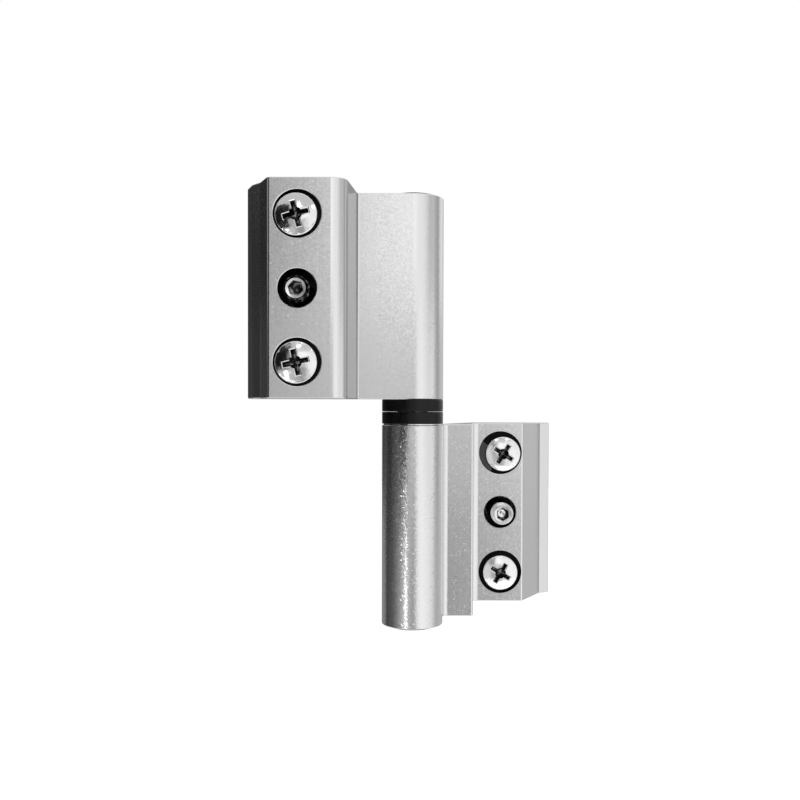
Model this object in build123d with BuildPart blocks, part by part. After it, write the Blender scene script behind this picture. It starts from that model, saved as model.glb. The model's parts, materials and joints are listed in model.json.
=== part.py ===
from build123d import *
import os
from math import cos, radians, sin, sqrt, tan

# Flag hinge of two aluminium leaves. The pin axis is +Z through the origin.
# Both leaves lie open, with their screw faces towards -Y.

# Driving dimensions, in millimetres and degrees

# Knuckle
barrel_radius = 10.0
bore_radius = 7.0
pin_radius = 5.0
leaf_length = 65.2
flange_thickness = 3.9
flange_edge = 0.3
disc_gap = 0.1
washer_thickness = 0.35
washer_inset = 0.5
cap_inset = 2.0
cap_lid_height = 0.7
cap_spigot_depth = 6.0
cap_edge = 0.3
pin_end_gap = 2.0
pin_chamfer = 0.8
running_clearance = 0.04
seat_clearance = 0.02
end_deburr = 0.25

# Door leaf section
plate_width = 17.7
plate_thickness = 6.0
block_rise = 20.4
wall_lean = 7.2
upper_face_width = 23.1
upper_wall_corner = 5.0
upper_foot_fillet = 0.6
upper_edge_fillet = 1.0
upper_flank_width = 3.1
upper_flank_depth = 7.0
shoulder_width = 2.9
shoulder_depth = 3.2
skirt_width = 2.3
skirt_depth = 5.7
skirt_fillet = 2.5
upper_back_fillet = 1.0
barrel_root_fillet = 2.0

# Frame leaf section
web_reach = 20.9
web_root_fillet = 2.2
web_edge_fillet = 0.7
step_depth = 25.0
step_fillet = 3.7
lower_face_width = 20.0
lower_edge_fillet = 0.9
lower_flank_angle = 30.0
lower_flank_depth = 14.4
flange_width = 3.8
flange_slope = 2.1
flange_edge_fillet = 0.5
lower_block_depth = 21.0
arm_back_offset = 2.6
arm_lean = 19.85
arm_root_fillet = 3.0

# Screws and their holes
screw_end_inset = 10.75
screw_radius = 3.0
screw_head_radius = 6.5
head_rim_height = 2.5
head_dome_height = 1.2
head_rim_fillet = 0.6
counterbore_depth = 3.0
hole_deburr = 0.25
recess_span = 7.9
recess_wing = 1.8
recess_depth = 3.5
recess_cone_radius = 2.4
recess_tip_radius = 0.6
recess_taper = 8.0
upper_counterbore_radius = 7.2
upper_hole_radius = 3.8
lower_counterbore_radius = 7.85
lower_hole_radius = 4.4
screw_end_chamfer = 0.5
screw_end_out = 1.0
centre_hole_radius = 5.8
set_screw_radius = 4.0
set_screw_chamfer = 0.9
hex_across_flats = 4.2
hex_depth = 4.0
hex_tip_depth = 0.8
hex_tip_radius = 0.4
set_screw_point = 1.5
set_screw_end_out = 1.0
upper_set_screw_out = 0.0
lower_set_screw_out = 3.0
upper_hole_inset = 14.3
lower_hole_inset = 11.8
upper_cross_turns = (15.0, 13.0)
lower_cross_turns = (-31.0, -30.0)
upper_hex_turn = 17.0
lower_hex_turn = 3.0

# Clamp plates behind the leaves, and the profile wall that they grip
profile_wall = 2.2
clamp_width = 18.0
clamp_thickness = 5.0
clamp_end = 8.0
clamp_corner = 2.0
clamp_edge = 0.5
upper_clamp_shift = -0.4
upper_clamp_drop = 0.1
lower_clamp_shift = 0.65
lower_clamp_drop = 0.5
lower_clamp_turn = 1.2

# Radii and levels worked out from the sizes above
washer_radius = barrel_radius - washer_inset
cap_lid_radius = barrel_radius - cap_inset
upper_disc_bottom = disc_gap / 2
upper_leaf_bottom = upper_disc_bottom + flange_thickness
upper_leaf_top = upper_leaf_bottom + leaf_length
lower_disc_top = -disc_gap / 2
washer_top = lower_disc_top - flange_thickness
lower_leaf_top = washer_top - washer_thickness
lower_leaf_bottom = lower_leaf_top - leaf_length
upper_middle = upper_leaf_bottom + leaf_length / 2
lower_middle = lower_leaf_bottom + leaf_length / 2
screw_pitch = leaf_length - 2 * screw_end_inset
plate_face_y = -barrel_radius
door_face_y = plate_face_y + plate_thickness
upper_face_y = plate_face_y - block_rise
web_face_y = barrel_radius
lower_face_y = web_face_y + step_depth
frame_face_y = lower_face_y + lower_block_depth

os.makedirs("parts", exist_ok=True)


def save(piece, name):
    piece.label = name
    export_step(piece, f"parts/{name}.step")


# Door leaf: barrel, plate and raised block with a stepped flank
wall_top_x = -plate_width - block_rise * tan(radians(wall_lean))
upper_edge_x = wall_top_x - upper_face_width
flank_end_x = upper_edge_x - upper_flank_width
flank_end_y = upper_face_y + upper_flank_depth
shoulder_x = flank_end_x - shoulder_width
shoulder_y = flank_end_y + shoulder_depth
skirt_x = shoulder_x - skirt_width
skirt_y = shoulder_y + skirt_depth
upper_outline = [
    ((0, plate_face_y), 0),
    ((-plate_width, plate_face_y), upper_foot_fillet),
    ((wall_top_x, upper_face_y), upper_wall_corner),
    ((upper_edge_x, upper_face_y), upper_edge_fillet),
    ((flank_end_x, flank_end_y), upper_foot_fillet),
    ((shoulder_x, shoulder_y), upper_edge_fillet),
    ((skirt_x, skirt_y), skirt_fillet),
    ((skirt_x, door_face_y), upper_back_fillet),
    ((0, door_face_y), 0),
]
upper_hole_x = wall_top_x - upper_hole_inset
upper_face_plane = Plane(
    origin=(upper_hole_x, upper_face_y, upper_middle), x_dir=(1, 0, 0), z_dir=(0, -1, 0)
)

with BuildPart() as upper_leaf:
    with BuildSketch(Plane.XY.offset(upper_leaf_bottom)) as upper_section:
        with BuildLine():
            FilletPolyline(
                [point for point, radius in upper_outline],
                radius=[radius for point, radius in upper_outline],
                close=True,
            )
        make_face()
        Circle(barrel_radius)
        plate_root = (-sqrt(barrel_radius**2 - door_face_y**2), door_face_y)
        fillet(upper_section.vertices().sort_by_distance(plate_root)[0], barrel_root_fillet)
    extrude(amount=leaf_length)
    end_faces = upper_leaf.faces().filter_by(Axis.Z)
    chamfer(end_faces.edges(), end_deburr)
    with Locations((0, 0, upper_leaf_top)):
        Hole(bore_radius)
    with Locations(upper_face_plane):
        with GridLocations(0, screw_pitch, 1, 2):
            CounterBoreHole(upper_hole_radius, upper_counterbore_radius, counterbore_depth)
        Hole(centre_hole_radius)
    flat_faces = upper_leaf.faces().filter_by(Axis.Y)
    screw_face = flat_faces.sort_by_distance(upper_face_plane.origin)[0]
    chamfer(screw_face.inner_wires().edges(), hole_deburr)
save(upper_leaf.part, "upper_leaf")


# Frame leaf: barrel, arm set back behind it, block with a sloping flank and an edge flange
arm_back_x = web_reach + arm_back_offset
arm_slope = tan(radians(arm_lean))
arm_start_x = arm_back_x - frame_face_y * arm_slope
arm_reach = sqrt(barrel_radius**2 * (1 + arm_slope**2) - arm_start_x**2)
arm_root_y = (arm_reach - arm_start_x * arm_slope) / (1 + arm_slope**2)
arm_root = (arm_start_x + arm_root_y * arm_slope, arm_root_y)
lower_edge_x = web_reach + lower_face_width
flange_start_x = lower_edge_x + lower_flank_depth * tan(radians(lower_flank_angle))
flange_start_y = lower_face_y + lower_flank_depth
flange_end_x = flange_start_x + flange_width
lower_outline = [
    ((arm_start_x, 0), 0),
    ((barrel_radius, 0), 0),
    ((barrel_radius, web_face_y), web_root_fillet),
    ((web_reach, web_face_y), web_edge_fillet),
    ((web_reach, lower_face_y), step_fillet),
    ((lower_edge_x, lower_face_y), lower_edge_fillet),
    ((flange_start_x, flange_start_y), flange_edge_fillet),
    ((flange_end_x, flange_start_y + flange_slope), flange_edge_fillet),
    ((flange_end_x, frame_face_y), flange_edge_fillet),
    ((arm_back_x, frame_face_y), flange_edge_fillet),
]
lower_hole_x = web_reach + lower_hole_inset
lower_face_plane = Plane(
    origin=(lower_hole_x, lower_face_y, lower_middle), x_dir=(1, 0, 0), z_dir=(0, -1, 0)
)

with BuildPart() as lower_leaf:
    with BuildSketch(Plane.XY.offset(lower_leaf_bottom)) as lower_section:
        with BuildLine():
            FilletPolyline(
                [point for point, radius in lower_outline],
                radius=[radius for point, radius in lower_outline],
                close=True,
            )
        make_face()
        Circle(barrel_radius)
        fillet(lower_section.vertices().sort_by_distance(arm_root)[0], arm_root_fillet)
    extrude(amount=leaf_length)
    end_faces = lower_leaf.faces().filter_by(Axis.Z)
    chamfer(end_faces.edges(), end_deburr)
    with Locations((0, 0, lower_leaf_top)):
        Hole(bore_radius)
    with Locations(lower_face_plane):
        with GridLocations(0, screw_pitch, 1, 2):
            CounterBoreHole(lower_hole_radius, lower_counterbore_radius, counterbore_depth)
        Hole(centre_hole_radius)
    flat_faces = lower_leaf.faces().filter_by(Axis.Y)
    screw_face = flat_faces.sort_by_distance(lower_face_plane.origin)[0]
    chamfer(screw_face.inner_wires().edges(), hole_deburr)
save(lower_leaf.part, "lower_leaf")


# Bush: sleeve in the barrel with the flange that shows as a black disc
def make_bush(leaf_end, face_level):
    outward = 1 if leaf_end > face_level else -1
    sleeve_end = leaf_end + outward * (leaf_length - cap_spigot_depth - pin_end_gap)
    with BuildPart() as bush:
        with BuildSketch(Plane.XY.offset(face_level)):
            Circle(barrel_radius)
        extrude(amount=leaf_end - face_level)
        fillet(bush.edges().filter_by(GeomType.CIRCLE), flange_edge)
        with BuildSketch(Plane.XY.offset(leaf_end)):
            Circle(bore_radius - seat_clearance)
        extrude(amount=sleeve_end - leaf_end)
        with BuildSketch(Plane.XY.offset(face_level)):
            Circle(pin_radius + running_clearance)
        extrude(amount=sleeve_end - face_level, mode=Mode.SUBTRACT)
    return bush.part


upper_bush = make_bush(upper_leaf_bottom, upper_disc_bottom)
save(upper_bush, "upper_bush")
lower_bush = make_bush(washer_top, lower_disc_top)
save(lower_bush, "lower_bush")


# Thin washer between the lower disc and the frame leaf's barrel
with BuildPart() as thrust_washer:
    with BuildSketch(Plane.XY.offset(lower_leaf_top)):
        Circle(washer_radius)
        Circle(bore_radius, mode=Mode.SUBTRACT)
    extrude(amount=washer_thickness)
save(thrust_washer.part, "thrust_washer")


# Pin through both bushes
pin_top = upper_leaf_top - cap_spigot_depth - pin_end_gap
pin_bottom = lower_leaf_bottom + cap_spigot_depth + pin_end_gap
with BuildPart() as hinge_pin:
    with BuildSketch(Plane.XY.offset(pin_bottom)):
        Circle(pin_radius)
    extrude(amount=pin_top - pin_bottom)
    chamfer(hinge_pin.edges().filter_by(GeomType.CIRCLE), pin_chamfer)
save(hinge_pin.part, "hinge_pin")


# Plugs that close the outer ends of both barrels
def make_cap(barrel_end, outward):
    with BuildPart() as cap:
        with BuildSketch(Plane.XY.offset(barrel_end)):
            Circle(cap_lid_radius)
        extrude(amount=outward * cap_lid_height)
        fillet(cap.edges().sort_by(Axis.Z)[-1 if outward > 0 else 0], cap_edge)
        with BuildSketch(Plane.XY.offset(barrel_end)):
            Circle(bore_radius - seat_clearance)
        extrude(amount=-outward * cap_spigot_depth)
    return cap.part


top_cap = make_cap(upper_leaf_top, 1)
save(top_cap, "top_cap")
bottom_cap = make_cap(lower_leaf_bottom, -1)
save(bottom_cap, "bottom_cap")


# Clamp screw: domed head with a cross recess, shank through the leaf into the clamp plate
def make_screw(clamp_plane, leaf_depth, height, turn):
    head_height = head_rim_height + head_dome_height
    dome_radius = (screw_head_radius**2 + head_dome_height**2) / (2 * head_dome_height)
    grip = leaf_depth - counterbore_depth + profile_wall + clamp_thickness
    shank_end = -grip - screw_end_out
    with BuildPart() as screw:
        with BuildSketch(Plane.XZ) as half_section:
            with BuildLine():
                Polyline(
                    (0, head_height),
                    (0, shank_end),
                    (screw_radius - screw_end_chamfer, shank_end),
                    (screw_radius, shank_end + screw_end_chamfer),
                    (screw_radius, 0),
                    (screw_head_radius, 0),
                    (screw_head_radius, head_rim_height),
                )
                RadiusArc((screw_head_radius, head_rim_height), (0, head_height), -dome_radius)
            make_face()
            head_rim = (screw_head_radius, head_rim_height)
            fillet(half_section.vertices().sort_by_distance(head_rim)[0], head_rim_fillet)
        revolve(axis=Axis.Z)
        for wing_turn in (turn, turn + 90):
            with BuildSketch(Plane.XY.offset(head_height)):
                Rectangle(recess_span, recess_wing, rotation=wing_turn)
            extrude(amount=-recess_depth, taper=recess_taper, mode=Mode.SUBTRACT)
        with Locations((0, 0, head_height - recess_depth / 2)):
            Cone(recess_tip_radius, recess_cone_radius, recess_depth, mode=Mode.SUBTRACT)
    seat = clamp_plane.location * Pos(0, height, -counterbore_depth)
    return screw.part.moved(seat)


# Set screw: headless, with a hexagon socket in its chamfered face and a blunt point
def make_set_screw(clamp_plane, leaf_depth, face_out, turn):
    length = face_out + leaf_depth + profile_wall + clamp_thickness + set_screw_end_out
    with BuildPart() as set_screw:
        with BuildSketch(Plane.XY):
            Circle(set_screw_radius)
        extrude(amount=-length)
        rims = set_screw.edges().filter_by(GeomType.CIRCLE).sort_by(Axis.Z)
        chamfer(rims[-1], set_screw_chamfer)
        chamfer(rims[0], set_screw_point)
        with BuildSketch(Plane.XY):
            RegularPolygon(hex_across_flats / 2, 6, major_radius=False, rotation=turn)
        extrude(amount=-hex_depth, mode=Mode.SUBTRACT)
        with Locations((0, 0, -hex_depth - hex_tip_depth / 2)):
            Cone(hex_tip_radius, hex_across_flats / 2, hex_tip_depth, mode=Mode.SUBTRACT)
    face = clamp_plane.location * Pos(0, 0, face_out)
    return set_screw.part.moved(face)


# Clamp plate: tapped steel bar on the far side of the profile wall
def make_clamp_plate(clamp_plane, leaf_depth):
    with BuildPart() as clamp_plate:
        with BuildSketch(Plane.XY.offset(-leaf_depth - profile_wall)):
            RectangleRounded(clamp_width, screw_pitch + 2 * clamp_end, clamp_corner)
            with GridLocations(0, screw_pitch, 1, 2):
                Circle(screw_radius + seat_clearance, mode=Mode.SUBTRACT)
            Circle(set_screw_radius + seat_clearance, mode=Mode.SUBTRACT)
        extrude(amount=-clamp_thickness)
        chamfer(clamp_plate.faces().sort_by(Axis.Z)[-1].outer_wire().edges(), clamp_edge)
    return clamp_plate.part.moved(clamp_plane.location)


# The screw holes have play, so each clamp plate sits a little off their middle, the lower one turned
upper_clamp_plane = Plane(
    origin=(upper_hole_x + upper_clamp_shift, upper_face_y, upper_middle - upper_clamp_drop),
    x_dir=(1, 0, 0),
    z_dir=(0, -1, 0),
)
lower_clamp_plane = Plane(
    origin=(lower_hole_x + lower_clamp_shift, lower_face_y, lower_middle - lower_clamp_drop),
    x_dir=(cos(radians(lower_clamp_turn)), 0, -sin(radians(lower_clamp_turn))),
    z_dir=(0, -1, 0),
)
fastenings = {
    "upper": (
        upper_clamp_plane,
        door_face_y - upper_face_y,
        upper_cross_turns,
        upper_set_screw_out,
        upper_hex_turn,
    ),
    "lower": (
        lower_clamp_plane,
        frame_face_y - lower_face_y,
        lower_cross_turns,
        lower_set_screw_out,
        lower_hex_turn,
    ),
}
for leaf, (plane, depth, cross_turns, face_out, hex_turn) in fastenings.items():
    for place, height, turn in zip(
        ("top", "bottom"), (screw_pitch / 2, -screw_pitch / 2), cross_turns
    ):
        save(make_screw(plane, depth, height, turn), f"{leaf}_screw_{place}")
    save(make_set_screw(plane, depth, face_out, hex_turn), f"{leaf}_set_screw")
    save(make_clamp_plate(plane, depth), f"{leaf}_clamp_plate")
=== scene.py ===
"""Flag hinge of two satin aluminium leaves with black nylon bushes, laid open on a studio stage."""

import json
from math import asin, atan2, pi, radians, tan

import bmesh
import bpy
from bpy.props import FloatProperty, FloatVectorProperty, PointerProperty
from mathutils import Matrix, Vector

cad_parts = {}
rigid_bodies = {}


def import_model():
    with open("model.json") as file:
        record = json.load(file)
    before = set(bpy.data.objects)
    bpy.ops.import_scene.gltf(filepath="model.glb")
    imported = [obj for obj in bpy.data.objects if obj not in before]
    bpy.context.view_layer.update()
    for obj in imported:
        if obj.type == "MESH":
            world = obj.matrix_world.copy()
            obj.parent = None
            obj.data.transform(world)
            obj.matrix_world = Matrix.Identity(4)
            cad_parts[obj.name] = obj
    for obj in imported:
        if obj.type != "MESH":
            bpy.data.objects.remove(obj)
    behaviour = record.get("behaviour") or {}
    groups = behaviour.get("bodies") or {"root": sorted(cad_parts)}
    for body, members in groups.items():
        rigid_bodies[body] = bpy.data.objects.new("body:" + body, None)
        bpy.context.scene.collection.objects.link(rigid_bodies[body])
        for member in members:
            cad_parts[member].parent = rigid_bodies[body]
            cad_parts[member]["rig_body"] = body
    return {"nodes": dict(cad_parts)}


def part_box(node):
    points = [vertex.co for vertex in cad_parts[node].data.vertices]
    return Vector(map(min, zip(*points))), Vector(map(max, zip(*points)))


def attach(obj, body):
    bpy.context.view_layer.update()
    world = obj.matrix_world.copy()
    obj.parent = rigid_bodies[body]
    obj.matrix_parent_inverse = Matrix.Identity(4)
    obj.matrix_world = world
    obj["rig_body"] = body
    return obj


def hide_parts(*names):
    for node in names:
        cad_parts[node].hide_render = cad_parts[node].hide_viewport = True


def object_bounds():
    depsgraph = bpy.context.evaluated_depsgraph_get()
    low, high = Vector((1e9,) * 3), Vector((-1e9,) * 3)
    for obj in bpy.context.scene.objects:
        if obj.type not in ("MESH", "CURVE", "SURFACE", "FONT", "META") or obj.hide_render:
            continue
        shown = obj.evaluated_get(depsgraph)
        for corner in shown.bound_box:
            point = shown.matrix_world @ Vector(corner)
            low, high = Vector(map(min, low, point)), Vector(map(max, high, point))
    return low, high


bl_info = {
    "name": "Flag hinge",
    "version": (1, 0, 0),
    "blender": (4, 5, 0),
    "location": "View3D > Sidebar > Hinge",
    "description": "Finishes and stages a flag hinge of two aluminium leaves",
    "category": "Object",
}

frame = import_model()
cad_low, cad_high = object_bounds()

MM = 0.001
# Depth of a metric thread as a share of its pitch, and how near two corners count as one
THREAD_DEPTH = 0.5413
MERGE_DISTANCE = 0.0001

# Sizes of the screws in millimetres, and how far each recess is turned in degrees
HEAD_RADIUS = 6.5
HEAD_RIM = 2.5
HEAD_HEIGHT = 3.64
HEAD_ROUNDING = 0.6
SCREW_RADIUS = 3.0
SCREW_PITCH = 1.0
SCREW_CHAMFER = 0.5
RECESS_SPAN = 7.9
RECESS_WING = 1.6
RECESS_DEPTH = 3.5
RECESS_TAPER = 8.0
RECESS_CONE = 2.0
RECESS_TIP = 0.6
LEAD_WIDTH = 0.22
LEAD_DEPTH = 0.2
CUT_LIFT = 0.5
CROSS_TURNS = {
    "upper_screw_top": 15.0,
    "upper_screw_bottom": 13.0,
    "lower_screw_top": -32.2,
    "lower_screw_bottom": -31.2,
}
SET_SCREW_RADIUS = 4.0
SET_SCREW_PITCH = 1.25
SET_SCREW_CHAMFER = 1.0
SET_SCREW_CHAMFER_LENGTH = 1.5
SET_SCREW_DISH = 0.3
SET_SCREW_POINT = 1.5
HEX_ACROSS = 4.2
HEX_DEPTH = 4.0
HEX_LEAD = 0.25
HEX_DRILL = 1.4
HEX_TIP = 0.4
HEX_TIP_DEPTH = 0.5
# How far down the upper set screw's sides the painted shade reaches
PAINTED_SHADE_REACH = 5.0
HEX_TURNS = {"upper_set_screw": 17.0, "lower_set_screw": 3.0}

# Middles, radii and share of painted shade of each leaf's bores, with one place where less shade is
# painted
BORES = {
    "upper_leaf": ((-34.58, 58.4, 7.3, 1), (-34.58, 14.7, 7.3, 1), (-34.58, 36.55, 5.9, 1)),
    "lower_leaf": (
        (32.7, -15.05, 7.95, 1),
        (32.7, -58.75, 7.95, 1),
        (32.7, -36.9, 5.9, 1),
        (22.5, -18.0, 8.0, -0.1),
    ),
}
FACE_LEVEL = {"upper_leaf": -30.4, "lower_leaf": 35.0}
COUNTERBORE_DEPTH = 3.0
DIE_LINE_SPACING = 1.1
DIE_LINE_DEPTH = 0.02
DIE_LINE_STRENGTH = {"upper_leaf": 0.3, "lower_leaf": 0.55}
# How far each leaf's plain facets lean, as a share of a sparkling one's lean, and the share that
# sparkle. From the barrel's edge outwards every lean shrinks to the share for the flats.
GRAIN = {"upper_leaf": (0.18, 0.01), "lower_leaf": (0.28, 0.08)}
BARREL_EDGE = (10.5, 12.0)
FLATS_LEAN = 0.5
# The flank of the door leaf's step: right of this X and in front of this Y
STEP_X = -20.2
STEP_Y = -10.3

# The light tent's glow at each side, in degrees from straight in front towards the right,
# in a low, a middle and a high band, and even at the top. A scratch program first fitted these
# levels to the photo's greys, and many of them were changed by hand since.
# Tent and floor sizes are in metres.
TENT_SIDES = (
    -180, -160, -140, -125, -110, -95, -80, -65, -50, -40, -30, -20, -10,
    0, 5, 10, 20, 35, 50, 65, 80, 95, 108, 122, 140, 160,
)
TENT_HIGH = (
    0.31, 0.15, 0.02, 0.02, 0.02, 0.03, 0.25, 0.35, 0.2, 0.23, 0.29, 0.27, 0.39,
    1.28, 1.32, 1.22, 1.04, 1.05, 0.9, 0.6, 0.67, 0.5, 0.38, 0.9, 0.95, 0.5,
)
TENT_MIDDLE = (
    0.32, 0.18, 0.02, 0.09, 0.05, 0.02, 0.05, 0.07, 0.11, 0.19, 0.31, 0.37, 0.54,
    0.84, 0.45, 0.82, 1.12, 1.14, 1.0, 0.93, 1.02, 0.55, 0.4, 0.6, 0.68, 0.6,
)
TENT_LOW = (
    0.38, 0.31, 0.29, 0.25, 0.05, 0.09, 0.1, 0.2, 0.34, 0.5, 0.62, 0.64, 0.54,
    0.33, 0.33, 0.6, 1.05, 1.18, 1.12, 1.04, 0.88, 0.58, 0.5, 0.6, 0.56, 0.48,
)
TENT_HEIGHT = 1.6
TENT_BAND = 0.12
TENT_BLEND = 0.04
TENT_TOP = 0.65
TENT_TOP_START = 0.34
TENT_TOP_FULL = 0.46
# A bright seam low in the tent's cloth leaves a thin streak on the frame leaf's barrel
SEAM_SIDE = -25.2
SEAM_HALF_WIDTH = 2.5
SEAM_TOP = -0.17
SEAM_FOOT = -0.22
SEAM_GAIN = 5.5
# Floor: its glow for the camera, and what the metal sees added to that, up to a board at the front
FLOOR_RADIUS = 6.0
FLOOR_GLOW = 0.6
FLOOR_FOR_METAL = -0.22
BOARD_FOR_METAL = 0.25
BOARD_START = -0.3
BOARD_FULL = -0.45
SOFT_WORLD = 0.6
# Card, lamps and camera, in millimetres, with the lens's shift as a share of the sensor's width
CARD_MIDDLE = (-262.0, -330.0, 98.0)
CARD_SIZE = (260.0, 270.0)
LAMP_PLACES = ((-41.0, -340.0, 220.0), (133.0, -340.0, 220.0))
LAMP_SIZE = 28.0
LAMP_POWER = 0.012
CAMERA_PLACE = (-4.10, -303.8, 0.99)
CAMERA_DIP = 0.0177
CAMERA_TURN = 0.0024
LENS_LENGTH = 41.67
LENS_SHIFT = 0.03125


# Small helpers


def linear(hex_colour):
    """The linear RGBA of an sRGB hex value such as "C8C9CB"."""
    parts = [int(hex_colour[i : i + 2], 16) / 255 for i in (0, 2, 4)]
    return [c / 12.92 if c <= 0.04045 else ((c + 0.055) / 1.055) ** 2.4 for c in parts] + [1.0]


def add_node(tree, kind, links=None, **settings):
    """Adds one node, applies its settings, and gives its inputs a value or a link."""
    node = tree.nodes.new("ShaderNode" + kind)
    for name, value in settings.items():
        setattr(node, name, value)
    for socket, value in (links or {}).items():
        if isinstance(value, bpy.types.NodeSocket):
            tree.links.new(value, node.inputs[socket])
        else:
            node.inputs[socket].default_value = value
    return node


def new_material(name):
    """An empty node material with its output node."""
    material = bpy.data.materials.new(name)
    material.use_nodes = True
    material.node_tree.nodes.clear()
    return material, material.node_tree, add_node(material.node_tree, "OutputMaterial")


def dress(material, *names):
    """Puts one material on every slot of these frame nodes."""
    for name in names:
        node = frame["nodes"][name]
        if not node.data.materials:
            node.data.materials.append(material)
        for slot in node.material_slots:
            slot.material = material


def settings():
    """The scene's hinge settings."""
    return bpy.context.scene.flag_hinge


def sharp_rays(tree, path):
    """1 for rays that show a thing, to the camera or in metal or glass, and 0 for soft light."""
    seen = add_node(
        tree,
        "Math",
        {0: path.outputs["Is Camera Ray"], 1: path.outputs["Is Glossy Ray"]},
        operation="MAXIMUM",
    )
    return add_node(
        tree,
        "Math",
        {0: seen.outputs[0], 1: path.outputs["Is Transmission Ray"]},
        operation="MAXIMUM",
    ).outputs[0]


# Sizes and colours that a user would change


class FlagHingeSettings(bpy.types.PropertyGroup):
    aluminium_colour: FloatVectorProperty(
        name="Aluminium colour",
        description="Reflection colour of the clear-anodised aluminium",
        subtype="COLOR",
        size=4,
        min=0.0,
        max=1.0,
        default=linear("DEDEDE"),
    )
    aluminium_roughness: FloatProperty(
        name="Aluminium roughness",
        description="Roughness of the satin anodised faces",
        subtype="FACTOR",
        min=0.0,
        max=1.0,
        default=0.2,
    )
    grain_size: FloatProperty(
        name="Grain size",
        description="Width of one facet of the etched grain, in millimetres",
        min=0.1,
        default=0.36,
    )
    spark_tilt: FloatProperty(
        name="Spark tilt",
        description="How far the few sparkling facets of the grain lean out of the face",
        subtype="FACTOR",
        min=0.0,
        max=1.0,
        default=0.28,
    )
    nylon_colour: FloatVectorProperty(
        name="Nylon colour",
        description="Colour of the moulded bushes and barrel plugs",
        subtype="COLOR",
        size=4,
        min=0.0,
        max=1.0,
        default=linear("060606"),
    )
    steel_colour: FloatVectorProperty(
        name="Steel colour",
        description="Reflection colour of the bright zinc-plated screws",
        subtype="COLOR",
        size=4,
        min=0.0,
        max=1.0,
        default=linear("E4E4E4"),
    )
    floor_drop: FloatProperty(
        name="Floor drop",
        description="Distance from the hinge's lowest point down to the floor",
        subtype="DISTANCE",
        unit="LENGTH",
        default=450 * MM,
    )
    tent_radius: FloatProperty(
        name="Tent radius",
        description="Radius of the light tent around the hinge",
        subtype="DISTANCE",
        unit="LENGTH",
        default=0.9,
    )


# Solids of the screws, in millimetres, with the screw's axis along Z and its face at the top


def thread_rod(radius, pitch, length, sides=32):
    """A threaded rod of metric profile, from Z 0 down to minus its length, with flat ends."""
    core = radius - THREAD_DEPTH * pitch
    shape = bmesh.new()
    # Root, rising flank, crest and falling flank, by radius and share of the pitch
    places = ((core, 0), (core, 0.25), (radius, 0.5625), (radius, 0.6875), (core, 1))
    verts = [shape.verts.new((r, 0, share * pitch)) for r, share in places]
    edges = [shape.edges.new(pair) for pair in zip(verts, verts[1:])]
    bmesh.ops.spin(
        shape,
        geom=verts + edges,
        cent=(0, 0, 0),
        axis=(0, 0, 1),
        dvec=(0, 0, pitch / sides),
        angle=2 * pi,
        steps=sides,
    )
    one_turn = shape.verts[:] + shape.edges[:] + shape.faces[:]
    for turn in range(1, int(length / pitch) + 3):
        copy = bmesh.ops.duplicate(shape, geom=one_turn)["geom"]
        copied = [item for item in copy if isinstance(item, bmesh.types.BMVert)]
        bmesh.ops.translate(shape, verts=copied, vec=(0, 0, -turn * pitch))
    bmesh.ops.remove_doubles(shape, verts=shape.verts, dist=MERGE_DISTANCE)
    for level, way in ((0, 1), (-length, -1)):
        cut = bmesh.ops.bisect_plane(
            shape,
            geom=shape.verts[:] + shape.edges[:] + shape.faces[:],
            dist=0.00001,
            plane_co=(0, 0, level),
            plane_no=(0, 0, way),
            clear_outer=True,
        )
        rim = [item for item in cut["geom_cut"] if isinstance(item, bmesh.types.BMEdge)]
        bmesh.ops.holes_fill(shape, edges=rim)
    bmesh.ops.recalc_face_normals(shape, faces=shape.faces)
    return shape


def turned_solid(places, sides=72, arc=None):
    """A solid of revolution from (radius, height) places; arc bends the first place into a dome."""
    shape = bmesh.new()
    verts = []
    if arc:
        centre, angle, steps = arc
        apex = shape.verts.new((0, 0, places[0][1]))
        bmesh.ops.spin(
            shape, geom=[apex], cent=(0, 0, centre), axis=(0, 1, 0), angle=angle, steps=steps
        )
        verts.append(max(shape.verts, key=lambda vert: vert.co.x))
    else:
        verts.append(shape.verts.new((places[0][0], 0, places[0][1])))
    for radius, height in places[1:]:
        verts.append(shape.verts.new((radius, 0, height)))
        shape.edges.new(verts[-2:])
    bmesh.ops.spin(
        shape,
        geom=shape.verts[:] + shape.edges[:],
        cent=(0, 0, 0),
        axis=(0, 0, 1),
        angle=2 * pi,
        steps=sides,
        use_merge=True,
    )
    bmesh.ops.remove_doubles(shape, verts=shape.verts, dist=MERGE_DISTANCE)
    bmesh.ops.recalc_face_normals(shape, faces=shape.faces)
    return shape


def sunk_cross(span, wing, depth, taper):
    """A cross of two bars sunk in the head's top, with walls that lean by the taper."""
    cross = None
    for size_x, size_y in ((span, wing), (wing, span)):
        bar = bmesh.new()
        bmesh.ops.create_cube(bar, size=2.0)
        for way, level in ((-1, -depth), (1, CUT_LIFT)):
            end = [vert for vert in bar.verts if vert.co.z == way]
            lean = level * tan(taper)
            bmesh.ops.scale(bar, verts=end, vec=(size_x / 2 + lean, size_y / 2 + lean, abs(level)))
        bmesh.ops.translate(bar, verts=bar.verts, vec=(0, 0, HEAD_HEIGHT))
        cross = combined(cross, bar, "UNION") if cross else bar
    return cross


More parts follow.
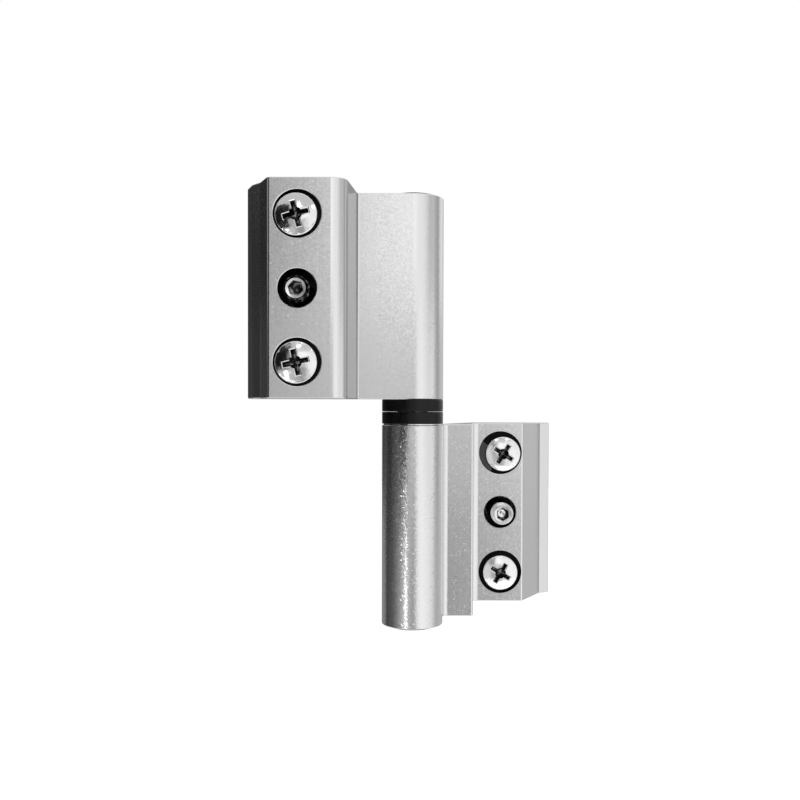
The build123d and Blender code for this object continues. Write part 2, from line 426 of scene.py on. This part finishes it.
def combined(solid, tool, operation, slot=0):
    """One solid cut by, joined to or kept within a tool, whose faces take the material slot."""
    for face in tool.faces:
        face.material_index = slot
    things = []
    for shape in (solid, tool):
        mesh = bpy.data.meshes.new("blank")
        shape.to_mesh(mesh)
        shape.free()
        for place in range(2):
            mesh.materials.append(None)
        things.append(bpy.data.objects.new("blank", mesh))
        bpy.context.scene.collection.objects.link(things[-1])
    cut = things[0].modifiers.new("cut", "BOOLEAN")
    cut.object = things[1]
    cut.operation = operation
    cut.solver = "EXACT"
    cut.use_self = operation == "DIFFERENCE"
    bpy.context.view_layer.update()
    made = things[0].evaluated_get(bpy.context.evaluated_depsgraph_get()).to_mesh()
    shape = bmesh.new()
    shape.from_mesh(made)
    for thing in things:
        mesh = thing.data
        bpy.data.objects.remove(thing)
        bpy.data.meshes.remove(mesh)
    if not shape.faces:
        raise RuntimeError("a screw's solid came out empty")
    return shape


def set_in_place(name, shape, level, materials, turn):
    """Puts a screw made in millimetres on its frame node's axis, its Z 0 at this level in Y."""
    low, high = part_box(name)
    seat = Matrix.Translation(((low.x + high.x) / 2, level, (low.z + high.z) / 2))
    face_forward = Matrix.Rotation(pi / 2, 4, "X")
    bmesh.ops.transform(
        shape,
        verts=shape.verts,
        matrix=seat
        @ face_forward
        @ Matrix.Scale(MM, 4)
        @ Matrix.Rotation(radians(turn), 4, "Z"),
    )
    mesh = bpy.data.meshes.new(name + "_threaded")
    shape.to_mesh(mesh)
    mesh.set_sharp_from_angle(angle=radians(30))
    for face in mesh.polygons:
        face.use_smooth = True
    for material in materials:
        mesh.materials.append(material)
    piece = bpy.data.objects.new(name + "_threaded", mesh)
    bpy.context.scene.collection.objects.link(piece)
    body = frame["nodes"][name]["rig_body"]
    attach(piece, body)
    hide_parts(name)


# Materials


def satin_aluminium(setting, leaf):
    """Aluminium, etched and clear anodised: even silver with fine sparkle and faint die lines, and
    painted shade in the bores and on the step's flank.
    """
    material, tree, output = new_material(f"satin_anodised_aluminium_{leaf}")
    place = add_node(tree, "TexCoord").outputs["Object"]
    plain_lean, sparks = GRAIN[leaf]
    # Die lines run straight along the whole extrusion, so their pattern has no Z
    flat = add_node(tree, "VectorMath", {0: place, 1: (1, 1, 0)}, operation="MULTIPLY")
    lines = add_node(
        tree,
        "TexNoise",
        {"Vector": flat.outputs[0], "Scale": 1 / (DIE_LINE_SPACING * MM), "Detail": 4.0},
    )
    ridges = add_node(
        tree,
        "Bump",
        {
            "Height": lines.outputs["Fac"],
            "Strength": DIE_LINE_STRENGTH[leaf],
            "Distance": DIE_LINE_DEPTH * MM,
        },
    )
    # The etch leaves facets far finer than this; they are drawn coarser so that they still sparkle
    facets = add_node(
        tree, "TexVoronoi", {"Vector": place, "Scale": 1 / (setting.grain_size * MM)}
    )
    tilt = add_node(
        tree,
        "VectorMath",
        {0: facets.outputs["Color"], 1: (0.5, 0.5, 0.5)},
        operation="SUBTRACT",
    )
    # A few facets lean much further than the rest and catch the light, most of all on the barrel
    parts = add_node(tree, "SeparateXYZ", {0: place})
    aside = add_node(tree, "Math", {0: parts.outputs["X"]}, operation="ABSOLUTE")
    spark = add_node(
        tree,
        "MapRange",
        {
            "Value": aside.outputs[0],
            "From Min": BARREL_EDGE[0] * MM,
            "From Max": BARREL_EDGE[1] * MM,
            "To Min": setting.spark_tilt,
            "To Max": FLATS_LEAN * setting.spark_tilt,
        },
    )
    pick = add_node(tree, "SeparateXYZ", {0: facets.outputs["Color"]})
    reach = add_node(
        tree,
        "MapRange",
        {"Value": pick.outputs["X"], "From Min": 1 - sparks, "To Min": plain_lean},
    )
    far = add_node(
        tree, "Math", {0: reach.outputs[0], 1: spark.outputs[0]}, operation="MULTIPLY"
    )
    lean = add_node(
        tree, "VectorMath", {0: tilt.outputs[0], "Scale": far.outputs[0]}, operation="SCALE"
    )
    leaning = add_node(
        tree, "VectorMath", {0: ridges.outputs["Normal"], 1: lean.outputs[0]}, operation="ADD"
    )
    pits = add_node(tree, "VectorMath", {0: leaning.outputs[0]}, operation="NORMALIZE")
    # The holes are bored after anodising; inside them the colour is painted shade, darker with
    # depth below the face
    across = add_node(tree, "VectorMath", {0: place, 1: (1, 0, 1)}, operation="MULTIPLY")
    bored = None
    for x, z, radius, share in BORES[leaf]:
        away = add_node(
            tree,
            "VectorMath",
            {0: across.outputs[0], 1: (x * MM, 0, z * MM)},
            operation="DISTANCE",
        )
        within = add_node(
            tree, "Math", {0: away.outputs["Value"], 1: radius * MM}, operation="LESS_THAN"
        )
        bored = add_node(
            tree,
            "Math",
            {0: within.outputs[0], 1: share, 2: bored.outputs[0] if bored else 0.0},
            operation="MULTIPLY_ADD",
        )
    depth = add_node(
        tree,
        "MapRange",
        {
            "Value": parts.outputs["Y"],
            "From Min": (FACE_LEVEL[leaf] + 0.25) * MM,
            "From Max": (FACE_LEVEL[leaf] + COUNTERBORE_DEPTH + 0.5) * MM,
        },
    )
    painted_shading = add_node(tree, "ValToRGB", {"Fac": depth.outputs[0]})
    stops = painted_shading.color_ramp.elements
    stops[0].color = setting.aluminium_colour
    for position, shade in ((0.1, "404040"), (0.8, "1A1A1A")):
        stops.new(position).color = linear(shade)
    stops[-1].color = linear("0A0A0A")
    colour = add_node(
        tree,
        "MixRGB",
        {
            "Fac": bored.outputs[0],
            "Color1": setting.aluminium_colour,
            "Color2": painted_shading.outputs["Color"],
        },
    )
    if leaf == "upper_leaf":
        # The flank of the step lies in the shade of the screw block
        right = add_node(
            tree, "Math", {0: parts.outputs["X"], 1: STEP_X * MM}, operation="GREATER_THAN"
        )
        shade = add_node(
            tree,
            "MapRange",
            {
                "Value": parts.outputs["Y"],
                "From Min": (STEP_Y + 0.3) * MM,
                "From Max": STEP_Y * MM,
                "To Max": right.outputs[0],
            },
        )
        colour = add_node(
            tree,
            "MixRGB",
            {
                "Fac": shade.outputs[0],
                "Color1": colour.outputs["Color"],
                "Color2": linear("9C9C9C"),
            },
        )
    surface = add_node(
        tree,
        "BsdfPrincipled",
        {
            "Base Color": colour.outputs["Color"],
            "Metallic": 1.0,
            "Roughness": setting.aluminium_roughness,
            "Normal": pits.outputs[0],
        },
    )
    tree.links.new(surface.outputs["BSDF"], output.inputs["Surface"])
    return material


def black_nylon(setting):
    """Moulded black nylon: near black, with a sheen that varies and wavers over its surface."""
    material, tree, output = new_material("moulded_black_nylon")
    place = add_node(tree, "TexCoord").outputs["Object"]
    sheen = add_node(tree, "TexNoise", {"Vector": place, "Scale": 1 / (1.6 * MM), "Detail": 3.0})
    gloss = add_node(
        tree,
        "MapRange",
        {
            "Value": sheen.outputs["Fac"],
            "From Min": 0.3,
            "From Max": 0.7,
            "To Min": 0.18,
            "To Max": 0.42,
        },
    )
    waver = add_node(
        tree,
        "Bump",
        {"Height": sheen.outputs["Fac"], "Strength": 0.6, "Distance": 0.05 * MM},
    )
    surface = add_node(
        tree,
        "BsdfPrincipled",
        {
            "Base Color": setting.nylon_colour,
            "Roughness": gloss.outputs[0],
            "IOR": 1.53,
            "Specular IOR Level": 0.25,
            "Normal": waver.outputs["Normal"],
        },
    )
    tree.links.new(surface.outputs["BSDF"], output.inputs["Surface"])
    return material


def bright_steel(setting):
    """Cold-headed steel with a bright zinc plating: smooth, with small mirror-like patches."""
    material, tree, output = new_material("bright_zinc_plated_steel")
    place = add_node(tree, "TexCoord").outputs["Object"]
    # Heading leaves the dome a little uneven, and plating leaves fine pits in it
    swell = add_node(
        tree, "TexNoise", {"Vector": place, "Scale": 1 / (3.0 * MM), "Detail": 1.0}
    )
    pit = add_node(
        tree,
        "TexNoise",
        {"Vector": place, "Scale": 1 / (0.35 * MM), "Detail": 2.0, "Roughness": 0.7},
    )
    uneven = add_node(
        tree, "Bump", {"Height": swell.outputs["Fac"], "Strength": 1.0, "Distance": 0.12 * MM}
    )
    pitted = add_node(
        tree,
        "Bump",
        {
            "Height": pit.outputs["Fac"],
            "Strength": 0.4,
            "Distance": 0.02 * MM,
            "Normal": uneven.outputs["Normal"],
        },
    )
    surface = add_node(
        tree,
        "BsdfPrincipled",
        {
            "Base Color": setting.steel_colour,
            "Metallic": 1.0,
            "Roughness": 0.14,
            "Normal": pitted.outputs["Normal"],
        },
    )
    tree.links.new(surface.outputs["BSDF"], output.inputs["Surface"])
    return material


def phosphated_steel():
    """Sheared steel bar, phosphated and oiled: dark grey, matt, with a faint mottle."""
    material, tree, output = new_material("phosphated_steel_bar")
    place = add_node(tree, "TexCoord").outputs["Object"]
    mottle = add_node(
        tree, "TexNoise", {"Vector": place, "Scale": 1 / (2.5 * MM), "Detail": 4.0}
    )
    colour = add_node(
        tree,
        "MixRGB",
        {"Fac": mottle.outputs["Fac"], "Color1": linear("3A3A3B"), "Color2": linear("5A5A5B")},
    )
    surface = add_node(
        tree,
        "BsdfPrincipled",
        {"Base Color": colour.outputs["Color"], "Metallic": 1.0, "Roughness": 0.5},
    )
    tree.links.new(surface.outputs["BSDF"], output.inputs["Surface"])
    return material


def dark_recess():
    """The inside of a struck or broached socket: dark painted shade, with lighter patches of
    painted glints.
    """
    material, tree, output = new_material("broached_steel_painted_shade_and_glints")
    place = add_node(tree, "TexCoord").outputs["Object"]
    # One noise picks the colour between the dark painted shade and the lighter painted glints, and
    # bumps the surface too
    patches = add_node(
        tree, "TexNoise", {"Vector": place, "Scale": 1 / (1.3 * MM), "Detail": 1.0}
    )
    painted_shading = add_node(
        tree,
        "MapRange",
        {"Value": patches.outputs["Fac"], "From Min": 0.48, "From Max": 0.62},
    )
    colour = add_node(
        tree,
        "MixRGB",
        {"Fac": painted_shading.outputs[0], "Color1": linear("2C2C2C"), "Color2": linear("8C8C8C")},
    )
    uneven = add_node(
        tree,
        "Bump",
        {"Height": patches.outputs["Fac"], "Strength": 1.0, "Distance": 0.3 * MM},
    )
    surface = add_node(
        tree,
        "BsdfPrincipled",
        {
            "Base Color": colour.outputs["Color"],
            "Metallic": 1.0,
            "Roughness": 0.3,
            "Normal": uneven.outputs["Normal"],
        },
    )
    tree.links.new(surface.outputs["BSDF"], output.inputs["Surface"])
    return material


# Operators


class HINGE_OT_leaves(bpy.types.Operator):
    """Finish both leaves in satin anodised aluminium"""

    bl_idname = "hinge.leaves"
    bl_label = "Finish the leaves"

    def execute(self, context):
        for leaf in BORES:
            dress(satin_aluminium(settings(), leaf), leaf)
        return {"FINISHED"}


class HINGE_OT_bushes(bpy.types.Operator):
    """Finish the bushes and barrel plugs in moulded nylon"""

    bl_idname = "hinge.bushes"
    bl_label = "Finish the bushes and plugs"

    def execute(self, context):
        dress(black_nylon(settings()), "upper_bush", "lower_bush", "top_cap", "bottom_cap")
        return {"FINISHED"}


class HINGE_OT_steelwork(bpy.types.Operator):
    """Finish the pin and washer in plated steel and the clamp plates in phosphated steel"""

    bl_idname = "hinge.steelwork"
    bl_label = "Finish the steelwork"

    def execute(self, context):
        dress(bright_steel(settings()), "thrust_washer", "hinge_pin")
        dress(phosphated_steel(), "upper_clamp_plate", "lower_clamp_plate")
        return {"FINISHED"}


class HINGE_OT_clamp_screws(bpy.types.Operator):
    """Model the four clamp screws with domed heads, cross recesses and threads"""

    bl_idname = "hinge.clamp_screws"
    bl_label = "Model the clamp screws"

    def execute(self, context):
        materials = (bright_steel(settings()), dark_recess())
        for leaf in ("upper", "lower"):
            low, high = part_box(f"{leaf}_screw_top")
            seat = (FACE_LEVEL[f"{leaf}_leaf"] + COUNTERBORE_DEPTH) * MM
            shank = threaded_shank((high.y - seat) / MM)
            screw = combined(recessed_head(), shank, "UNION")
            for place in ("top", "bottom"):
                name = f"{leaf}_screw_{place}"
                set_in_place(name, screw.copy(), seat, materials, CROSS_TURNS[name])
            screw.free()
        return {"FINISHED"}


def recessed_head():
    """The domed head, 0 at its underside, with a rounded rim and an eased cross recess."""
    dome_rise = HEAD_HEIGHT - HEAD_RIM
    dome_radius = (HEAD_RADIUS**2 + dome_rise**2) / (2 * dome_rise)
    head = turned_solid(
        ((0, HEAD_HEIGHT), (HEAD_RADIUS, 0), (0, 0)),
        arc=(HEAD_HEIGHT - dome_radius, asin(HEAD_RADIUS / dome_radius), 14),
    )
    rim = [
        edge
        for edge in head.edges
        if all(abs(vert.co.xy.length - HEAD_RADIUS) < 0.01 for vert in edge.verts)
        and all(abs(vert.co.z - HEAD_RIM) < 0.01 for vert in edge.verts)
    ]
    bmesh.ops.bevel(
        head,
        geom=rim,
        offset=HEAD_ROUNDING,
        affect="EDGES",
        segments=5,
        profile=0.5,
        material=-1,
        clamp_overlap=True,
    )
    # The mouth's eased edge follows the fall of the dome out to the end of each wing
    mouth = sunk_cross(
        RECESS_SPAN + 2 * LEAD_WIDTH,
        RECESS_WING + 2 * LEAD_WIDTH,
        LEAD_DEPTH,
        atan2(LEAD_WIDTH, LEAD_DEPTH),
    )
    bmesh.ops.triangulate(mouth, faces=mouth.faces)
    for vert in mouth.verts:
        vert.co.z -= vert.co.xy.length_squared / (2 * dome_radius)
    head = combined(head, mouth, "DIFFERENCE")
    cone = bmesh.new()
    bmesh.ops.create_cone(
        cone,
        cap_ends=True,
        segments=24,
        radius1=RECESS_TIP,
        radius2=RECESS_CONE,
        depth=RECESS_DEPTH,
    )
    bmesh.ops.translate(cone, verts=cone.verts, vec=(0, 0, HEAD_HEIGHT - RECESS_DEPTH / 2))
    cross = sunk_cross(RECESS_SPAN, RECESS_WING, RECESS_DEPTH, radians(RECESS_TAPER))
    # The cross and its cone take the second slot: painted shade and painted glints inside the
    # recess
    return combined(head, combined(cross, cone, "UNION"), "DIFFERENCE", slot=1)


def threaded_shank(length):
    """The clamp screw's shank below its head, threaded to its chamfered end."""
    blank = turned_solid(
        (
            (0, 0.1),
            (SCREW_RADIUS, 0.1),
            (SCREW_RADIUS, SCREW_CHAMFER - length),
            (SCREW_RADIUS - SCREW_CHAMFER, -length),
            (0, -length),
        )
    )
    rod = thread_rod(SCREW_RADIUS, SCREW_PITCH, length + 1.5)
    bmesh.ops.translate(rod, verts=rod.verts, vec=(0, 0, 1))
    return combined(blank, rod, "INTERSECT")


class HINGE_OT_set_screws(bpy.types.Operator):
    """Model the two set screws with hexagon sockets and threads"""

    bl_idname = "hinge.set_screws"
    bl_label = "Model the set screws"

    def execute(self, context):
        materials = (bright_steel(settings()), dark_recess())
        for name, turn in HEX_TURNS.items():
            low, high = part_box(name)
            length = (high.y - low.y) / MM
            rod = thread_rod(SET_SCREW_RADIUS, SET_SCREW_PITCH, length + 2)
            bmesh.ops.translate(rod, verts=rod.verts, vec=(0, 0, 1))
            # Painted shade: the upper screw's sides and thread are dark round its bright face, down
            # to the painted shade's reach
            painted_shade_slot = int(name == "upper_set_screw")
            screw = combined(socketed_blank(length, painted_shade_slot), rod, "INTERSECT", slot=painted_shade_slot)
            for face in screw.faces:
                if face.calc_center_median().z < -PAINTED_SHADE_REACH:
                    face.material_index = 0
            set_in_place(name, screw, low.y, materials, turn)
        return {"FINISHED"}


def socketed_blank(length, painted_shade_slot):
    """The set screw before its thread: dished face, blunt point, hexagon socket and drill tip."""
    blank = turned_solid(
        (
            (0, -SET_SCREW_DISH),
            (SET_SCREW_RADIUS - SET_SCREW_CHAMFER, 0),
            (SET_SCREW_RADIUS, -SET_SCREW_CHAMFER_LENGTH),
            (SET_SCREW_RADIUS, SET_SCREW_POINT - length),
            (SET_SCREW_RADIUS - SET_SCREW_POINT, -length),
            (0, -length),
        )
    )
    # On the upper screw, all faces but the dished face take the painted shade
    for face in blank.faces:
        if face.calc_center_median().z < -SET_SCREW_DISH:
            face.material_index = painted_shade_slot
    corner = HEX_ACROSS / 3**0.5
    # The hexagon socket takes painted shade and painted glints; its lead stays bright steel, and
    # the drill tip takes the upper screw's painted shade
    for slot, segments, wide, narrow, depth, middle in (
        (1, 6, corner, corner, 2 * HEX_DEPTH, 0),
        (0, 6, corner + HEX_LEAD, corner - HEX_LEAD, 2 * HEX_LEAD, 0),
        (painted_shade_slot, 24, HEX_DRILL, HEX_TIP, HEX_TIP_DEPTH, -HEX_DEPTH - HEX_TIP_DEPTH / 2 + 0.01),
    ):
        cutter = bmesh.new()
        bmesh.ops.create_cone(
            cutter, cap_ends=True, segments=segments, radius1=narrow, radius2=wide, depth=depth
        )
        bmesh.ops.translate(cutter, verts=cutter.verts, vec=(0, 0, middle))
        blank = combined(blank, cutter, "DIFFERENCE", slot=slot)
    return blank


class HINGE_OT_stage(bpy.types.Operator):
    """Build the floor, the light tent, the lamps and the camera"""

    bl_idname = "hinge.stage"
    bl_label = "Build the stage"

    def execute(self, context):
        scene = context.scene
        setting = settings()
        floor_z = cad_low.z - setting.floor_drop

        # Floor: a wide pale disc
        shape = bmesh.new()
        bmesh.ops.create_circle(shape, cap_ends=True, segments=96, radius=FLOOR_RADIUS)
        bmesh.ops.translate(shape, verts=shape.verts, vec=(0, 0, floor_z))
        stage_object("floor", shape, floor_material())

        # Tent: an open cylinder whose wall glows by side and height
        shape = bmesh.new()
        bmesh.ops.create_cone(
            shape,
            cap_ends=False,
            segments=128,
            radius1=setting.tent_radius,
            radius2=setting.tent_radius,
            depth=TENT_HEIGHT,
        )
        bmesh.ops.translate(shape, verts=shape.verts, vec=(0, 0, floor_z + TENT_HEIGHT / 2))
        tent = stage_object("light_tent", shape, tent_material())
        tent.visible_camera = False
        tent.visible_shadow = False

        # Dark card at the camera's left for the domed heads and the barrel to mirror
        shape = bmesh.new()
        bmesh.ops.create_grid(shape, x_segments=1, y_segments=1, size=0.5)
        bmesh.ops.transform(
            shape,
            verts=shape.verts,
            matrix=Matrix.Translation([place * MM for place in CARD_MIDDLE])
            @ Matrix.Rotation(pi / 2, 4, "X")
            @ Matrix.Diagonal([size * MM for size in CARD_SIZE] + [1, 1]),
        )
        card = stage_object("dark_card", shape, card_material())
        card.visible_camera = False
        card.visible_shadow = False

        # Two small lamps over the camera leave one spark each on a domed head
        for number, place in enumerate(LAMP_PLACES):
            lamp = bpy.data.lights.new(f"spark_lamp_{number}", "AREA")
            lamp.shape = "DISK"
            lamp.size = LAMP_SIZE * MM
            lamp.energy = LAMP_POWER
            thing = bpy.data.objects.new(lamp.name, lamp)
            thing.matrix_world = aim([part * MM for part in place], (0, 0, 0))
            scene.collection.objects.link(thing)

        world_light(scene)
        lens = bpy.data.cameras.new("camera")
        lens.sensor_width = 36.0
        lens.lens = LENS_LENGTH
        lens.shift_y = LENS_SHIFT
        lens.clip_start = 0.01
        camera = bpy.data.objects.new("camera", lens)
        camera.matrix_world = (
            Matrix.Translation([part * MM for part in CAMERA_PLACE])
            @ Matrix.Rotation(pi / 2 - CAMERA_DIP, 4, "X")
            @ Matrix.Rotation(CAMERA_TURN, 4, "Z")
        )
        scene.collection.objects.link(camera)
        scene.camera = camera
        scene.view_settings.view_transform = "Standard"
        return {"FINISHED"}


def aim(place, target):
    """The matrix of a lamp at one point that faces another."""
    place = Vector(place)
    turn = (Vector(target) - place).to_track_quat("-Z", "Y")
    return Matrix.Translation(place) @ turn.to_matrix().to_4x4()


def stage_object(name, shape, material):
    """Turns a bmesh into a stage object."""
    bmesh.ops.recalc_face_normals(shape, faces=shape.faces)
    mesh = bpy.data.meshes.new(name)
    shape.to_mesh(mesh)
    shape.free()
    mesh.materials.append(material)
    thing = bpy.data.objects.new(name, mesh)
    bpy.context.scene.collection.objects.link(thing)
    return thing


def floor_material():
    """Matt white studio floor that glows a little, so that it reads as white."""
    material, tree, output = new_material("matt_white_floor")
    path = add_node(tree, "LightPath")
    seen = sharp_rays(tree, path)
    paint = add_node(tree, "BsdfDiffuse", {"Color": linear("EDEDED")})
    # The metal sees the floor dimmer than the camera does, but for a bright board at the front
    parts = add_node(tree, "SeparateXYZ", {0: add_node(tree, "TexCoord").outputs["Object"]})
    board = add_node(
        tree,
        "MapRange",
        {
            "Value": parts.outputs["Y"],
            "From Min": BOARD_START,
            "From Max": BOARD_FULL,
            "To Min": FLOOR_FOR_METAL,
            "To Max": BOARD_FOR_METAL,
        },
    )
    level = add_node(
        tree,
        "Math",
        {0: path.outputs["Is Glossy Ray"], 1: board.outputs[0], 2: FLOOR_GLOW},
        operation="MULTIPLY_ADD",
    )
    glow = add_node(
        tree, "Emission", {"Color": (1, 1, 1, 1), "Strength": level.outputs[0]}
    )
    lit = add_node(tree, "AddShader", {0: paint.outputs[0], 1: glow.outputs[0]})
    mix = add_node(tree, "MixShader", {0: seen, 1: paint.outputs[0], 2: lit.outputs[0]})
    tree.links.new(mix.outputs[0], output.inputs["Surface"])
    return material


def card_material():
    """Matt black card."""
    material, tree, output = new_material("matt_black_card")
    paint = add_node(tree, "BsdfDiffuse", {"Color": linear("202020")})
    tree.links.new(paint.outputs[0], output.inputs["Surface"])
    return material


def tent_material():
    """Light tent cloth: dark at the hinge's left, brightest in front on its right."""
    material, tree, output = new_material("light_tent_cloth")
    place = add_node(tree, "TexCoord").outputs["Object"]
    parts = add_node(tree, "SeparateXYZ", {0: place})
    # The angle is 0 straight in front of the hinge and grows towards the right
    front = add_node(tree, "Math", {0: parts.outputs["Y"], 1: -1.0}, operation="MULTIPLY")
    angle = add_node(
        tree, "Math", {0: parts.outputs["X"], 1: front.outputs[0]}, operation="ARCTAN2"
    )
    turn = add_node(tree, "MapRange", {"Value": angle.outputs[0], "From Min": -pi, "From Max": pi})
    bands = []
    for levels in (TENT_LOW, TENT_MIDDLE, TENT_HIGH):
        ramp = add_node(tree, "ValToRGB", {"Fac": turn.outputs[0]})
        stops = ramp.color_ramp.elements
        while len(stops) < len(levels) + 1:
            stops.new(0.5)
        for stop, degrees, level in zip(stops, (*TENT_SIDES, 180), (*levels, levels[0])):
            stop.position = (degrees + 180) / 360
            stop.color = (level, level, level, 1)
        bands.append(ramp.outputs["Color"])
    for level, upper in zip((-TENT_BAND, TENT_BAND), bands[1:]):
        share = add_node(
            tree,
            "MapRange",
            {
                "Value": parts.outputs["Z"],
                "From Min": level - TENT_BLEND,
                "From Max": level + TENT_BLEND,
            },
            interpolation_type="SMOOTHSTEP",
        )
        bands[0] = add_node(
            tree, "MixRGB", {"Fac": share.outputs[0], "Color1": bands[0], "Color2": upper}
        ).outputs["Color"]
    top = add_node(
        tree,
        "MapRange",
        {"Value": parts.outputs["Z"], "From Min": TENT_TOP_START, "From Max": TENT_TOP_FULL},
    )
    cloth = add_node(
        tree,
        "MixRGB",
        {"Fac": top.outputs[0], "Color1": bands[0], "Color2": (TENT_TOP, TENT_TOP, TENT_TOP, 1)},
    )
    seam = add_node(
        tree,
        "Math",
        {0: angle.outputs[0], 1: radians(SEAM_SIDE), 2: radians(SEAM_HALF_WIDTH)},
        operation="COMPARE",
    )
    low = add_node(
        tree,
        "MapRange",
        {
            "Value": parts.outputs["Z"],
            "From Min": SEAM_TOP,
            "From Max": SEAM_FOOT,
            "To Max": SEAM_GAIN,
        },
    )
    bright = add_node(
        tree, "Math", {0: seam.outputs[0], 1: low.outputs[0], 2: 1.0}, operation="MULTIPLY_ADD"
    )
    glow = add_node(
        tree, "Emission", {"Color": cloth.outputs["Color"], "Strength": bright.outputs[0]}
    )
    tree.links.new(glow.outputs[0], output.inputs["Surface"])
    return material


def world_light(scene):
    """A plain white world for what the camera and the metal see, and a soft level for the rest."""
    world = bpy.data.worlds.new("studio")
    scene.world = world
    world.use_nodes = True
    tree = world.node_tree
    tree.nodes.clear()
    path = add_node(tree, "LightPath")
    seen = sharp_rays(tree, path)
    soft = add_node(tree, "Background", {"Color": (1, 1, 1, 1), "Strength": SOFT_WORLD})
    white = add_node(tree, "Background", {"Color": (1, 1, 1, 1), "Strength": 1.0})
    mix = add_node(tree, "MixShader", {0: seen, 1: soft.outputs[0], 2: white.outputs[0]})
    output = add_node(tree, "OutputWorld")
    tree.links.new(mix.outputs[0], output.inputs["Surface"])


class HINGE_PT_sidebar(bpy.types.Panel):
    """Lists the hinge's settings and operators"""

    bl_idname = "HINGE_PT_sidebar"
    bl_label = "Flag hinge"
    bl_space_type = "VIEW_3D"
    bl_region_type = "UI"
    bl_category = "Hinge"

    def draw(self, context):
        for name in FlagHingeSettings.__annotations__:
            self.layout.prop(settings(), name)
        for operator in OPERATORS:
            self.layout.operator(operator.bl_idname)


OPERATORS = (
    HINGE_OT_leaves,
    HINGE_OT_bushes,
    HINGE_OT_steelwork,
    HINGE_OT_clamp_screws,
    HINGE_OT_set_screws,
    HINGE_OT_stage,
)
CLASSES = (FlagHingeSettings, *OPERATORS, HINGE_PT_sidebar)


def register():
    for item in CLASSES:
        bpy.utils.register_class(item)
    bpy.types.Scene.flag_hinge = PointerProperty(type=FlagHingeSettings)


def unregister():
    del bpy.types.Scene.flag_hinge
    for item in reversed(CLASSES):
        bpy.utils.unregister_class(item)


def main():
    register()
    bpy.ops.hinge.leaves()
    bpy.ops.hinge.bushes()
    bpy.ops.hinge.steelwork()
    bpy.ops.hinge.clamp_screws()
    bpy.ops.hinge.set_screws()
    bpy.ops.hinge.stage()


if __name__ == "__main__":
    main()
